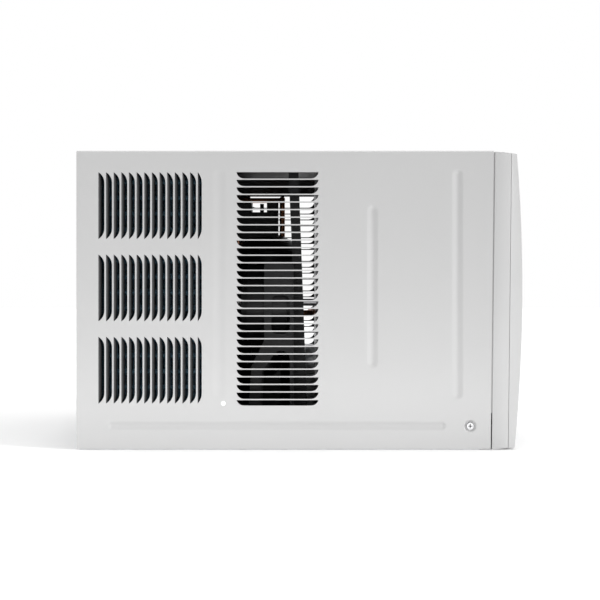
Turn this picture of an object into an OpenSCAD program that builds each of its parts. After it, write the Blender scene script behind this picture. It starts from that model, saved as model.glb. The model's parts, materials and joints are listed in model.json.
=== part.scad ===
// Window air conditioner, in millimetres, +Z up.
// The origin is on the sill under the middle of the case. The room side faces -Y,
// the outdoor side faces +Y, and +X is on the right for someone in the room.

/* [Case] */
// Width across the cabinet sides
unit_w = 483; // [470:1:580]
// Depth from the crown of the front panel to the rear edge of the cabinet
unit_d = 549; // [545:1:660]
// Height from the sill to the top of the cabinet
unit_h = 368; // [360:1:442]
// Thickness of the cabinet steel
cabinet_t = 1.0; // [0.8:0.1:1.4]
// Thickness of the base pan steel
pan_t = 1.2; // [1:0.1:1.6]
// Height of the base pan's upturned rim
pan_rim_h = 20; // [14:1:21]
// Clearance between the cabinet and what sits inside it
case_fit = 0.4; // [0.3:0.1:0.6]

/* [Side louvres] */
// Banks of upright louvres on each side, one above the other
rear_banks = 3; // [2:1:4]
// Upright louvres in one bank
rear_slots = 14; // [8:1:14]
// Pitch of the upright louvres
rear_pitch = 9.4; // [8.8:0.1:9.6]
// Width of an upright louvre's opening
rear_open = 7.4; // [6:0.1:7.8]
// Height between two banks
bank_gap = 18.9; // [14:0.1:24]
// Depth that an upright louvre's blade is pressed in
blade_depth = 5; // [3:0.1:6]
// Pitch of the level louvres
mid_pitch = 9.35; // [9:0.05:11]
// Height of a level louvre's opening
mid_open = 7.9; // [6:0.1:8.3]
// Length of a level louvre
mid_w = 101; // [70:1:102]

/* [Room side] */
// Depth of the frame between the cabinet and the front panel
bezel_d = 20; // [18:0.5:24]
// Wall of the frame
bezel_t = 3; // [2.5:0.1:4]
// Wall of the front panel
panel_t = 2.5; // [2:0.1:3]
// Radius of the front panel's crown, seen from the side
crown_r = 2030; // [1800:10:3000]
// Height of the air outlet
outlet_h = 80; // [72:1:92]
// Width of the control fascia
fascia_w = 128; // [120:1:140]
// Pitch of the intake grille's slots
intake_pitch = 11; // [9:0.5:14]
// Height of an intake slot
intake_open = 6; // [4:0.5:7]
// Travel of a button
button_travel = 1.2; // [0.8:0.1:1.6]

/* [Air vanes] */
// Radius of a pivot pin on a louver or vane
pivot_r = 2; // [1.5:0.1:2.5]
// Radius of a crank pin that a link bar turns on
crank_r = 1.5; // [1.2:0.1:1.8]
// Radial clearance of pins in their bores
pin_fit = 0.05; // [0.03:0.01:0.1]
// Louvers across the outlet, and vanes in each bank
blade_count = 4; // [4:1:4]

/* [Air movers] */
// Radius of the shaft that carries both wheels
shaft_r = 5; // [4:0.5:7]
// Radius of the blower wheel
blower_r = 94; // [80:1:98]
// Outer radius of the condenser fan's slinger ring
fan_r = 160; // [134:1:162]
// Gap between the slinger ring and the shroud
fan_gap = 8; // [5:1:9]
// Radius of the fan motor
motor_r = 56; // [45:1:60]
// Length of the fan motor
motor_len = 70; // [60:1:76]

/* [Refrigeration] */
// Radius of the compressor shell
compressor_r = 50; // [45:1:51]
// Height of the compressor shell
compressor_h = 257; // [220:1:262]
// Thickness of the condenser coil
condenser_t = 24; // [20:1:26]
// Length of the condenser's side legs
leg_len = 150; // [130:1:160]
// Thickness of the evaporator coil
evaporator_t = 36; // [26:1:38]
// Radius of the suction pipe
suction_r = 4.5; // [3.5:0.5:4.5]
// Radius of the discharge pipe
discharge_r = 4; // [3:0.5:5]
// Radius of a return bend's tube
bend_tube_r = 3.8; // [3:0.1:4]

/* [Hidden] */

eps = 1;                                  // how far a cut runs past a face
half_w = unit_w / 2;
y_front = -unit_d / 2;
y_rear = unit_d / 2;
inner_w = half_w - cabinet_t;             // inner face of a cabinet side
inner_top = unit_h - cabinet_t;
cabinet_z0 = 0.8;                         // lower edge of the cabinet above the sill

// The frame and the cabinet's front edge lean back by this much from top to bottom.
front_lean = 4.1;
seam_in = 13.7;                           // crown to the top of the panel's seam
case_gap = 1.5;                           // gap between frame and cabinet
function lean(z) = front_lean * (1 - z / unit_h);
function seam_y(z) = y_front + seam_in + lean(z);
function bezel_y(z) = seam_y(z) + bezel_d;
function cabinet_y(z) = bezel_y(z) + case_gap;
bezel_top = unit_h - 1.2;
bezel_slope = 1.8;                        // how much the frame narrows towards the seam

// The front panel's face is a shallow arc with its crown a little above mid height.
crown_z = unit_h / 2 + 16;
function face_y(z) = y_front + crown_r - sqrt(crown_r * crown_r - pow(z - crown_z, 2));
function face_tilt(z) = -asin((z - crown_z) / crown_r);

// Side louvres
louvre_z0 = 56.6;
louvre_z1 = unit_h - 26.6;
rear_edge_y = y_rear - 27.1;              // straight edge of the rearmost upright louvre
bank_h = (louvre_z1 - louvre_z0 - (rear_banks - 1) * bank_gap) / rear_banks;
rear_last_open = 5;                       // the foremost upright louvre is narrower
rear_end_run = 13;                        // length of the curved end of an upright louvre
mid_end_run = 9.2;                        // the same on a level louvre
mid_full = floor((louvre_z1 - louvre_z0 + 2.4) / mid_pitch);
mid_last_open = louvre_z1 - louvre_z0 + 2.4 - mid_full * mid_pitch;

// Pressed beads in the cabinet sides
bead_deep = 2.5;
bead_faint = 1;
bead_in = cabinet_t + bead_deep;          // how far a bead's back stands inside the case
low_bead_z = 28.9;

// Case screws and plugs
screw_head_r = 5;
screw_head_h = 2.4;
screw_r = 2;
dimple_depth = 2.6;
dimple_r = 6.8;
case_screw_y = y_front + 64.4;
plug_y = y_rear - 180.8;
plug_z = 56.9;
plug_r = 3.1;

// Depth layout, from the room side back
filter_y = [y_front + 21.5, y_front + 27.5];
louver_y = y_front + 20.5;
duct_y0 = max(y_front + 9.5, face_y(unit_h - 16) + panel_t + 0.6);
vane_y = y_front + 62.5;
scroll_y0 = y_front + 128.5;
bulkhead_y = [y_front + 238.5, y_front + 250.5];
evaporator_y0 = y_front + 78.5;
mid_bank_y0 = bulkhead_y[1] + 0.5;
// and from the outdoor side forwards
grille_y = y_rear - 6;
coil_back = y_rear - 12.5;
leg_y0 = coil_back - leg_len;
shroud_t = 2.5;
coil_plate_t = 1.2;

// Outlet, fascia and the strip between them
outlet_x0 = -half_w + 19.5;
fascia_x1 = half_w - 15.5;
fascia_x0 = fascia_x1 - fascia_w;
outlet_x1 = fascia_x0 - 22;
outlet_z1 = unit_h - 16;
outlet_z0 = outlet_z1 - outlet_h;
outlet_zc = (outlet_z0 + outlet_z1) / 2;
duct_t = 3;

// Shared shaft
axis_z = outlet_z0 - 94;
fan_hub_r = 32;
shroud_r = fan_r + fan_gap;

// Blades
louver_pitch = outlet_h / blade_count;
vane_pitch = (outlet_x1 - outlet_x0) / (2 * blade_count);
blade_t = 2;
blade_gap = 0.5;                          // end play between a blade and the duct wall
link_w = 2.4;
link_half = 2.5;
link_gap = 0.4;
ear_t = 1.6;
ear_half = 2.4;
louver_chord = [9, 5];                    // in front of the pivot and behind it
louver_crank = 10;
vane_chord = [14, 8];
vane_crank = 13;
louver_link_at = -60;                     // along a louver, from its middle
vane_link_at = -outlet_h / 2 + 10;
function louver_z(i) = outlet_z0 + louver_pitch * (i - 0.5);
function vane_x(bank, i) = outlet_x0 + vane_pitch * (bank * blade_count + i - 0.5);

// Fresh air vent
vent_x = fascia_x0 - 11;                  // line of the pull rod
vent_z = outlet_z1 - 22;
vent_rod_r = 1.5;
vent_head_r = 3.2;
vent_hinge_z = outlet_z1 + 1;
vent_axle_r = 1.4;
damper_t = 1.5;
damper_y = bulkhead_y[0] - 3.5;           // front face of the damper plate
damper_x = [vent_x - 4.4, vent_x + 58];
damper_h = 43;

// Coils
fin_x = half_w - 12.5;                    // outer face of the condenser's legs
coil_z = [8, unit_h - 16];
evaporator_x = half_w - 34;
evaporator_z = [14, outlet_z0 - 10];
bend_pitch = 25;                          // height of one return bend
condenser_bends = floor((coil_z[1] - coil_z[0] - 46) / (bend_pitch * 1.2));
evaporator_bends = floor((evaporator_z[1] - evaporator_z[0] - 40) / (bend_pitch * 1.5));
function bend_z(z, n, i) = z[0] + (z[1] - z[0]) * (i + 0.75) / (n + 0.5);

// Outdoor bay
bay_y = (bulkhead_y[1] + leg_y0) / 2;     // middle of the bay behind the bulkhead
compressor_x = half_w - 71.5;
compressor_y = bay_y + 4;
compressor_z = 24;
foot_r = 50;                              // compressor axis to its feet
foot_stud_r = 3.5;
foot_angles = [90, 210, 330];
accumulator_x = compressor_x - 75;
accumulator_r = 23;
accumulator_z = [66, 190];
motor_y = bulkhead_y[1] + 34;             // front face of the motor
suction_x = half_w - 10.3;
suction_bend = 12;
suction_y = bulkhead_y[1] + 7;            // where the pipe crosses behind the bulkhead
suction_drop_y = suction_y + 2 * suction_bend + 1;
// It passes between the third and fourth return bends of the evaporator.
suction_z = (bend_z(evaporator_z, evaporator_bends, 2) + bend_z(evaporator_z, evaporator_bends, 3)) / 2;
capillary_r = 1.5;
capillary_x = half_w - 13;
capillary_z = 30;
case_bend_y = evaporator_y0 + evaporator_t / 2;

// Drain slot under the bulkhead, and the drain and sill holes of the base pan
drain_slot_half = 20;
drain_r = 8;
drain_y = y_rear - 70;
sill_hole_r = 3;
sill_dx = half_w - 51.5;
sill_y = [y_front + 74.5, y_rear - 74.5];

$fn = 64;

// ---- Helpers --------------------------------------------------------------------------

// A box given by its low and high limits on each axis
module span(x, y, z) {
    translate([x[0], y[0], z[0]]) cube([x[1] - x[0], y[1] - y[0], z[1] - z[0]]);
}

// Round rods along each axis, given by their limits along it and their centre across it
module rod_x(r, x, y, z) {
    translate([x[0], y, z]) rotate([0, 90, 0]) cylinder(r = r, h = x[1] - x[0]);
}

module rod_y(r, x, y, z) {
    translate([x, y[1], z]) rotate([90, 0, 0]) cylinder(r = r, h = y[1] - y[0]);
}

module rod_z(r, x, y, z) {
    translate([x, y, z[0]]) cylinder(r = r, h = z[1] - z[0]);
}

// An outline in (Y, Z) drawn along X
module prism_x(x, points) {
    translate([x[0], 0, 0]) rotate([90, 0, 90]) linear_extrude(x[1] - x[0]) polygon(points);
}

// An outline in (X, Z) drawn along Y
module prism_y(y, points) {
    translate([0, y[1], 0]) rotate([90, 0, 0]) linear_extrude(y[1] - y[0]) polygon(points);
}

// Limits h either side of c, and a pair of limits moved by d
function about(c, h) = [c - h, c + h];
function moved(v, d) = [v[0] + d, v[1] + d];

module both_sides() {
    children();
    mirror([1, 0, 0]) children();
}

function arc(c, r, a0, a1, n = 6) =
    [for (i = [0:n]) let (a = a0 + (a1 - a0) * i / n) c + r * [cos(a), sin(a)]];

function rounded(x, y, r, n = 6) = concat(
    arc([x[1] - r, y[0] + r], r, -90, 0, n), arc([x[1] - r, y[1] - r], r, 0, 90, n),
    arc([x[0] + r, y[1] - r], r, 90, 180, n), arc([x[0] + r, y[0] + r], r, 180, 270, n));

// Pipe runs: each piece continues from the end of the one before, along its own +Z
module straight(r, l) {
    cylinder(r = r, h = l);
    translate([0, 0, l]) children();
}

// A quarter turn towards the direction at angle "to" about the run
module elbow(r, bend, to) {
    rotate([0, 0, to]) {
        translate([bend, 0, 0]) rotate([90, 0, 0]) mirror([1, 0, 0])
            rotate_extrude(angle = 90) translate([bend, 0]) circle(r);
        translate([bend, 0, bend]) rotate([0, 90, 0]) children();
    }
}

// ---- Case -----------------------------------------------------------------------------

// Half outline of a lanced louvre: one straight edge at 0, curved ends, the other edge at "open"
function lance(len, open, run) =
    let (r = (run * run + open * open) / (2 * open), a = asin(run / r))
    concat([[0, 0]],
           [for (i = [0:4]) [run - r * sin(a * (1 - i / 4)), open - r + r * cos(a * (1 - i / 4))]],
           [for (i = [0:4]) [len - run + r * sin(a * i / 4), open - r + r * cos(a * i / 4)]],
           [[len, 0]]);

// Extrudes an outline in (Y, Z) through the left side
module side_cut() {
    translate([-half_w - eps, 0, 0]) rotate([90, 0, 90]) linear_extrude(cabinet_t + 2 * eps) children();
}

module side_slots() {
    for (b = [0:rear_banks - 1], i = [0:rear_slots - 1])
        translate([0, rear_edge_y - i * rear_pitch, louvre_z0 + b * (bank_h + bank_gap)])
            side_cut() rotate([0, 0, 90])
                polygon(lance(bank_h, i == rear_slots - 1 ? rear_last_open : rear_open, rear_end_run));
    for (i = [0:mid_full])
        translate([0, mid_bank_y0, louvre_z1 - i * mid_pitch])
            side_cut() mirror([0, 1])
                polygon(lance(mid_w, i == mid_full ? mid_last_open : mid_open, mid_end_run));
}

// Blades of the upright louvres, pressed in from their rear edges
module side_blades() {
    root = 0.6;
    lead = 2.6;
    for (b = [0:rear_banks - 1], i = [0:rear_slots - 1])
        translate([-inner_w, rear_edge_y - i * rear_pitch,
                   louvre_z0 + b * (bank_h + bank_gap) + rear_end_run * 0.3])
            linear_extrude(bank_h - rear_end_run * 0.6)
                polygon([[-cabinet_t / 2, root], [blade_depth, -lead], [blade_depth, -lead - cabinet_t],
                         [-cabinet_t / 2, -cabinet_t]]);
}

// A round-ended strip in the (Y, Z) plane, from a to b, less "trim" all round
module strip(a, b, w, trim, x) {
    len = norm(b - a);
    r = w / 2 - trim;
    translate([x[0], a[0], a[1]]) rotate([90, 0, 90]) rotate([0, 0, atan2(b[1] - a[1], b[0] - a[0])])
        linear_extrude(x[1] - x[0])
            polygon(concat(arc([len - w / 2, 0], r, -90, 90, 10), arc([w / 2, 0], r, 90, 270, 10)));
}

// "back" makes the metal behind a bead, and without it the groove in front
module side_beads(back) {
    low = 61;
    high = unit_h - 21.5;
    trim = back ? 0 : cabinet_t;
    for (bead = [[[y_rear - 175.5, low], [y_rear - 175.5, high], 20, bead_faint],
                 [[y_front + 184.7, low + 39], [y_front + 184.7, high - 45], 16, bead_deep],
                 [[y_front + 80, low], [y_front + 80, high], 16, bead_deep],
                 [[y_front + 93, low_bead_z], [y_rear - 37.5, low_bead_z], 12, bead_deep]])
        strip(bead[0], bead[1], bead[2], trim,
              back ? [-inner_w - cabinet_t / 2, -inner_w + bead[3]] : [-half_w - eps, -half_w + bead[3]]);
}

module case_screw_dimple(back) {
    if (back) rod_x(dimple_r, [-half_w, -inner_w + dimple_depth], case_screw_y, low_bead_z);
    else {
        rod_x(dimple_r - cabinet_t, [-half_w - eps, -half_w + dimple_depth], case_screw_y, low_bead_z);
        rod_x(screw_r + 0.3, [-half_w, -inner_w + dimple_depth + eps], case_screw_y, low_bead_z);
    }
}

module cabinet() {
    r = 3;
    outer = concat([[-half_w, cabinet_z0], [half_w, cabinet_z0]],
                   arc([half_w - r, unit_h - r], r, 0, 90, 4),
                   arc([r - half_w, unit_h - r], r, 90, 180, 4));
    ri = r - cabinet_t;
    inner = concat([[-inner_w, cabinet_z0 - eps], [inner_w, cabinet_z0 - eps]],
                   arc([inner_w - ri, inner_top - ri], ri, 0, 90, 4),
                   arc([ri - inner_w, inner_top - ri], ri, 90, 180, 4));
    front = cabinet_y(unit_h);
    color("gainsboro") difference() {
        union() {
            difference() {
                prism_y([front, y_rear], outer);
                prism_y([front - eps, y_rear + eps], inner);
                both_sides() side_slots();
            }
            both_sides() {
                side_beads(true);
                case_screw_dimple(true);
                side_blades();
            }
            for (s = [-1, 1]) span([s * 110 - 70, s * 110 + 70], [y_rear - 160, y_rear - 100],
                                   [inner_top - bead_faint, inner_top + cabinet_t / 2]);
        }
        prism_x([-half_w - eps, half_w + eps],
                [[front - eps, -eps], [cabinet_y(0), -eps], [cabinet_y(unit_h), unit_h + eps],
                 [front - eps, unit_h + eps]]);
        both_sides() {
            side_beads(false);
            case_screw_dimple(false);
            rod_x(plug_r, [-half_w - eps, -inner_w + bead_faint + eps], plug_y, plug_z);
        }
        for (s = [-1, 1]) span([s * 110 - 69, s * 110 + 69], [y_rear - 159, y_rear - 101],
                               [unit_h - bead_faint, unit_h + eps]);
    }
}

pan_x = inner_w - case_fit;
pan_y = [y_front + 51, y_rear - 3.5];
tab_x = inner_w - dimple_depth - 0.6;

module base_pan() {
    color("silver") difference() {
        union() {
            difference() {
                span([-pan_x, pan_x], pan_y, [0, pan_rim_h]);
                span([-pan_x + pan_t, pan_x - pan_t], pan_y + [pan_t, -pan_t], [pan_t, pan_rim_h + eps]);
            }
            both_sides() span([-tab_x, -tab_x + pan_t], [case_screw_y - 12, case_screw_y + 12], [0, 38]);
            rod_z(drain_r + 2, 0, drain_y, [0, pan_t + 6]);
        }
        both_sides() rod_x(screw_r, [-tab_x - eps, -tab_x + pan_t + eps], case_screw_y, low_bead_z);
        rod_z(drain_r, 0, drain_y, [-eps, pan_t + 7]);
        for (x = [-sill_dx, sill_dx], y = sill_y) rod_z(sill_hole_r, x, y, [-eps, pan_t + eps]);
    }
}

module rear_grille() {
    x = inner_w - 4.5;
    z = [pan_rim_h + 3, inner_top - 4];
    pitch = 18;
    columns = floor((2 * x - 40) / pitch);
    rows = 5;
    row_h = (z[1] - z[0] - 30) / rows;
    color("gainsboro") difference() {
        union() {
            span([-x, x], [grille_y - 1, grille_y], z);
            for (s = [-1, 1]) span([s * x - 1, s * x + 1], [coil_back + 0.5, grille_y], z);
        }
        for (c = [0:columns - 1], r = [0:rows - 1])
            prism_y([grille_y - 2, grille_y + eps],
                    rounded(about((c - (columns - 1) / 2) * pitch, pitch / 2 - 2.5),
                            [z[0] + 17 + r * row_h, z[0] + 13 + (r + 1) * row_h], 5, 2));
        for (sx = [-1, 1], zz = [z[0] + 8, z[1] - 8])
            rod_y(screw_r, sx * (x - 9), [grille_y - 2, grille_y + eps], zz);
    }
}

// A cross-recess screw with its seat at the origin and its head towards -Z
module screw(len) {
    difference() {
        translate([0, 0, -screw_head_h])
            cylinder(r1 = screw_head_r - 0.8, r2 = screw_head_r, h = screw_head_h);
        for (a = [0, 90]) rotate([0, 0, a])
            translate([-2.6, -0.6, -screw_head_h - eps]) cube([5.2, 1.2, 1.4 + eps]);
    }
    cylinder(r = screw_r - 0.05, h = len);
}

module case_screws() {
    grille_x = inner_w - 13.5;
    color("silver") {
        both_sides() translate([-half_w + dimple_depth, case_screw_y, low_bead_z])
            rotate([0, 90, 0]) screw(7);
        for (x = [-grille_x, grille_x], z = [pan_rim_h + 11, inner_top - 12])
            translate([x, grille_y, z]) rotate([90, 0, 0]) screw(4.5);
    }
}

module hole_plugs() {
    color("white") both_sides() {
        rod_x(plug_r - 0.1, [-half_w + bead_faint - 0.8, -inner_w + bead_faint + 1.5], plug_y, plug_z);
        rod_x(plug_r + 1, [-inner_w + bead_faint + 1.5, -inner_w + bead_faint + 3], plug_y, plug_z);
    }
}

// ---- Room side ------------------------------------------------------------------------

filter_slot_z = [19.4, outlet_z0 - 15.4];
gland_z = outlet_z1 - 40;
gland_y = y_front + 25.5;
gland_r = 8;
cord_r = 4.2;

module front_frame() {
    lip_d = 11;
    lip_x = inner_w - case_fit - 0.3;
    lip_z = inner_top - case_fit - 0.3;
    y_far = bezel_y(0) + lip_d;
    color("whitesmoke") difference() {
        union() {
            difference() {
                prism_x([-half_w, half_w],
                        [[bezel_y(0), 0], [bezel_y(unit_h), bezel_top],
                         [seam_y(unit_h), bezel_top - bezel_slope], [seam_y(0), bezel_slope]]);
                span([-half_w + bezel_t, half_w - bezel_t], [y_front, y_far],
                     [bezel_t + bezel_slope, bezel_top - bezel_slope - bezel_t]);
            }
            difference() {
                prism_x([-lip_x, lip_x], [[seam_y(0) + 8, 45], [seam_y(unit_h) + 8, lip_z],
                                          [bezel_y(unit_h) + lip_d, lip_z], [bezel_y(45) + lip_d, 45]]);
                span([-lip_x + 2, lip_x - 2], [y_front, y_far], [0, bezel_top - bezel_slope - bezel_t]);
            }
            span([-half_w + 1, half_w - 1], [filter_y[0] - 3.5, filter_y[1] + 3],
                 [filter_slot_z[1], outlet_z0 - 8]);
            for (y = [[filter_y[0] - 3.5, filter_y[0] - 0.5], [filter_y[1] + 0.5, filter_y[1] + 3]])
                span([-half_w + 1, half_w - 1], y, [bezel_slope + 1, filter_slot_z[0] + 4]);
        }
        span([0, half_w + eps], [filter_y[0] - 0.5, filter_y[1] + 0.5], filter_slot_z);
        rod_x(gland_r, [half_w - 10, half_w + eps], gland_y, gland_z);
    }
}

// The front panel's solid, drawn in by "inset" on its outside faces
module panel_body(inset) {
    back = inset > 0 ? 20 : 0;
    intersection() {
        translate([0, y_front + crown_r, crown_z]) rotate([0, 90, 0])
            cylinder(r = crown_r - inset, h = 2 * (half_w - 0.5 - inset), center = true, $fn = 720);
        prism_x([-half_w, half_w],
                [[y_front - eps, 3.2 + inset], [seam_y(0) - 0.2, 1.6 + inset],
                 [seam_y(0) + back, 1.6 + inset], [seam_y(unit_h) + back, unit_h - 3.2 - inset],
                 [seam_y(unit_h) - 0.2, unit_h - 3.2 - inset],
                 [y_front - eps, unit_h - 5 - inset]]);
    }
}

module front_panel() {
    margin = 24;
    mullions = [-1, 0, 1];
    slot_n = floor((outlet_z0 - 14 - 26) / intake_pitch);
    mullion_w = 10;
    reach = half_w - margin;
    column_w = (2 * reach - 3 * mullion_w) / 4;
    color("whitesmoke") difference() {
        union() {
            difference() {
                panel_body(0);
                panel_body(panel_t);
                for (c = [0:3], i = [0:slot_n - 1])
                    prism_y([y_front - eps, y_front + seam_in + 3],
                            rounded(moved([0, column_w], c * (column_w + mullion_w) - reach),
                                    moved([26, 26 + intake_open], i * intake_pitch), 2.9, 2));
            }
            for (m = mullions)
                span(about(m * (column_w + mullion_w), 1.5),
                     [face_y(30) - 1.2, face_y(30) + 4], [24, outlet_z0 - 14]);
        }
        span([outlet_x0, outlet_x1], [y_front - eps, y_front + 20], [outlet_z0, outlet_z1]);
        span([fascia_x0 - 0.3, fascia_x1 + 0.3], [y_front - eps, y_front + 20],
             [outlet_z0 - 0.3, outlet_z1 + 0.3]);
        span([vent_x - 4.4, vent_x + 4.4], [y_front - eps, y_front + 20], [vent_z - 8.4, vent_z + 8.4]);
    }
}

// Puts its children on the fascia: origin at its middle, local -Y straight out
fascia_xc = (fascia_x0 + fascia_x1) / 2;
module on_fascia() {
    translate([fascia_xc, face_y(outlet_zc), outlet_zc]) rotate([face_tilt(outlet_zc), 0, 0]) children();
}

fascia_t = 2.5;
window = [54, 22];
window_z = 19;
board_y = 11;                             // front face of the board behind the fascia's face
switch_h = 3.5;
button_size = [19, 10];
button_fit = 0.35;
button_at = [["power", -43, -6], ["mode", -43, -25], ["fan", 0, -15.5], ["up", 43, -6], ["down", 43, -25]];

module control_fascia() {
    color("lightgray") on_fascia() difference() {
        union() {
            span([-fascia_w / 2, fascia_w / 2], [0.2, fascia_t], [-outlet_h / 2, outlet_h / 2] * 0.998);
            for (x = [-1, 1], z = [-1, 1])
                rod_y(3, x * (fascia_w / 2 - 7), [fascia_t - 0.5, board_y], z * (outlet_h / 2 - 6));
        }
        span([-1, 1] * window[0] / 2, [-eps, fascia_t + eps], about(window_z, window[1] / 2));
        for (b = button_at)
            prism_y([-eps, fascia_t + eps],
                    rounded(about(b[1], button_size[0] / 2 + button_fit),
                            about(b[2], button_size[1] / 2 + button_fit), 3));
    }
}

module display_window() {
    color("black") on_fascia() {
        span([-1, 1] * (window[0] / 2 - 0.2), [0.6, fascia_t], about(window_z, window[1] / 2 - 0.2));
        span([-1, 1] * (window[0] / 2 + 2), [fascia_t, fascia_t + 1.2], about(window_z, window[1] / 2 + 2));
    }
}

module control_board() {
    color("green") on_fascia() {
        span([-1, 1] * (fascia_w / 2 - 3), [board_y, board_y + 1.6], [-1, 1] * (outlet_h / 2 - 2));
        span([-22, 22], [fascia_t + 1.4, board_y], about(window_z, 8));
        for (b = button_at)
            span(about(b[1], 3), [board_y - switch_h, board_y], about(b[2], 3));
    }
}

module button(name) {
    b = [for (c = button_at) if (c[0] == name) c][0];
    color("gainsboro") on_fascia() translate([b[1], 0, b[2]]) {
        prism_y([-0.6, fascia_t + 0.2 + button_travel],
                rounded([-1, 1] * button_size[0] / 2, [-1, 1] * button_size[1] / 2, 2.8));
        span([-1, 1] * (button_size[0] / 2 + 1.2), [fascia_t + 0.4, fascia_t + 1.4],
             [-1, 1] * (button_size[1] / 2 - 0.5));
        rod_y(1.5, 0, [fascia_t, board_y - switch_h - button_travel - 0.2], 0);
    }
}

module cord_gland() {
    color("dimgray") difference() {
        union() {
            rod_x(gland_r - 0.1, [half_w - 12, half_w - 0.2], gland_y, gland_z);
            rod_x(gland_r + 2.2, [half_w - bezel_t - 4, half_w - bezel_t - 2.1], gland_y, gland_z);
        }
        rod_x(cord_r, [half_w - 13, half_w + eps], gland_y, gland_z);
    }
}

// Air filter, which slides out to the right
filter_x = [-half_w + 8, half_w - 0.4];
filter_z = filter_slot_z + [0.6, -0.6];
filter_bar = 8;
filter_yc = (filter_y[0] + filter_y[1]) / 2;
module filter_frame() {
    bays = 4;
    bay_w = (filter_x[1] - filter_x[0] - filter_bar) / bays;
    color("dimgray") difference() {
        span(filter_x, filter_y, filter_z);
        for (i = [0:bays - 1])
            span(moved([filter_bar, bay_w], filter_x[0] + i * bay_w), filter_y + [-eps, eps],
                 filter_z + [filter_bar, -filter_bar]);
        span(filter_x + [3, -filter_bar + 3], about(filter_yc, 0.7), filter_z + [3, -3]);
        rod_z(1.6, half_w - 0.2, filter_yc, filter_z + [80, -80]);
    }
}

module filter_mesh() {
    color("gray") span(filter_x + [3.2, -filter_bar + 2.8], about(filter_yc, 0.5),
                       filter_z + [3.2, -3.2]);
}

// ---- Outlet and its blades ------------------------------------------------------------

module outlet_duct() {
    color("white") difference() {
        span([outlet_x0 - duct_t, outlet_x1 + duct_t], [duct_y0, scroll_y0],
             [outlet_z0 - duct_t, outlet_z1 + duct_t]);
        span([outlet_x0, outlet_x1], [duct_y0 - eps, scroll_y0 + eps], [outlet_z0, outlet_z1]);
        for (i = [1:blade_count])
            rod_x(pivot_r + pin_fit, [outlet_x0 - duct_t - eps, outlet_x1 + duct_t + eps],
                  louver_y, louver_z(i));
        for (bank = [0, 1], i = [1:blade_count])
            rod_z(pivot_r + pin_fit, vane_x(bank, i), vane_y,
                  [outlet_z0 - duct_t - eps, outlet_z1 + duct_t + eps]);
    }
}

// A blade that pivots on local X, with a crank pin between two ears at "at"
module blade(len, chord, crank, at) {
    pin_reach = len / 2 + blade_gap + duct_t - 0.4;
    ear_in = link_w / 2 + link_gap;
    span([-len / 2, len / 2], [-chord[0], chord[1]], [-blade_t / 2, blade_t / 2]);
    rod_x(pivot_r, [-pin_reach, pin_reach], 0, 0);
    for (s = [-1, 1])
        span(about(at + s * (ear_in + ear_t / 2), ear_t / 2),
             [chord[1] - 2, crank + ear_half], [-ear_half, ear_half]);
    rod_x(crank_r, about(at, ear_in + 0.5), crank, 0);
}

module louver(i) {
    color("whitesmoke") translate([(outlet_x0 + outlet_x1) / 2, louver_y, louver_z(i)])
        blade(outlet_x1 - outlet_x0 - 2 * blade_gap, louver_chord, louver_crank, louver_link_at);
}

module vane(bank, i) {
    color("whitesmoke") translate([vane_x(bank, i), vane_y, outlet_zc]) rotate([0, -90, 0])
        blade(outlet_h - 2 * blade_gap, vane_chord, vane_crank, vane_link_at);
}

module louver_link() {
    x = (outlet_x0 + outlet_x1) / 2 + louver_link_at;
    y = louver_y + louver_crank;
    color("lightgray") difference() {
        span(about(x, link_w / 2), about(y, link_half), [louver_z(1) - 4, louver_z(blade_count) + 4]);
        for (i = [1:blade_count]) rod_x(crank_r + pin_fit, about(x, link_w), y, louver_z(i));
    }
}

module vane_link(bank) {
    z = outlet_zc + vane_link_at;
    y = vane_y + vane_crank;
    color("lightgray") difference() {
        span([vane_x(bank, 1) - 4, vane_x(bank, blade_count) + 4], about(y, link_half),
             about(z, link_w / 2));
        for (i = [1:blade_count]) rod_z(crank_r + pin_fit, vane_x(bank, i), y, about(z, link_w));
    }
}

// ---- Air handling ---------------------------------------------------------------------

scroll_wall = 3;
scroll_start = 60;                        // direction of the cut-off, as seen from the room
scroll_r0 = blower_r + 10;
scroll_growth = 34;
inlet_r = blower_r - 16;

// The spiral's radius at turn i of 36, and how far out it stands at height h over the axis
function scroll_r(i) = scroll_r0 + scroll_growth * i / 36;
function reach_at(r, h) = sqrt(r * r - h * h);

// The scroll's spiral and the chamber above it as one outline, grown outwards by g
module scroll_layer(y, g) {
    floor_z = outlet_z0 - g;
    h = floor_z - axis_z;
    spiral = [for (i = [27:-1:1]) let (a = scroll_start - i * 10) (scroll_r(i) + g) * [cos(a), sin(a)]];
    prism_y(y, concat(
        [[reach_at(scroll_r(0) + g, h), floor_z], [outlet_x1 + g, floor_z], [outlet_x1 + g, outlet_z1 + g],
         [outlet_x0 - g, outlet_z1 + g], [outlet_x0 - g, floor_z], [-reach_at(scroll_r(28) + g, h), floor_z]],
        [for (p = spiral) if (p[1] < h - 2) p + [0, axis_z]]));
}

module scroll_housing() {
    y = [scroll_y0, bulkhead_y[0]];
    color("white") difference() {
        scroll_layer(y, scroll_wall);
        scroll_layer(y + [scroll_wall, -scroll_wall], 0);
        rod_y(inlet_r, 0, [y[0] - eps, y[0] + scroll_wall + eps], axis_z);
        rod_y(shaft_r + 6, 0, [y[1] - scroll_wall - eps, y[1] + eps], axis_z);
        span([outlet_x0, outlet_x1], [y[0] - eps, y[0] + scroll_wall + eps], [outlet_z0, outlet_z1]);
    }
}

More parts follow.
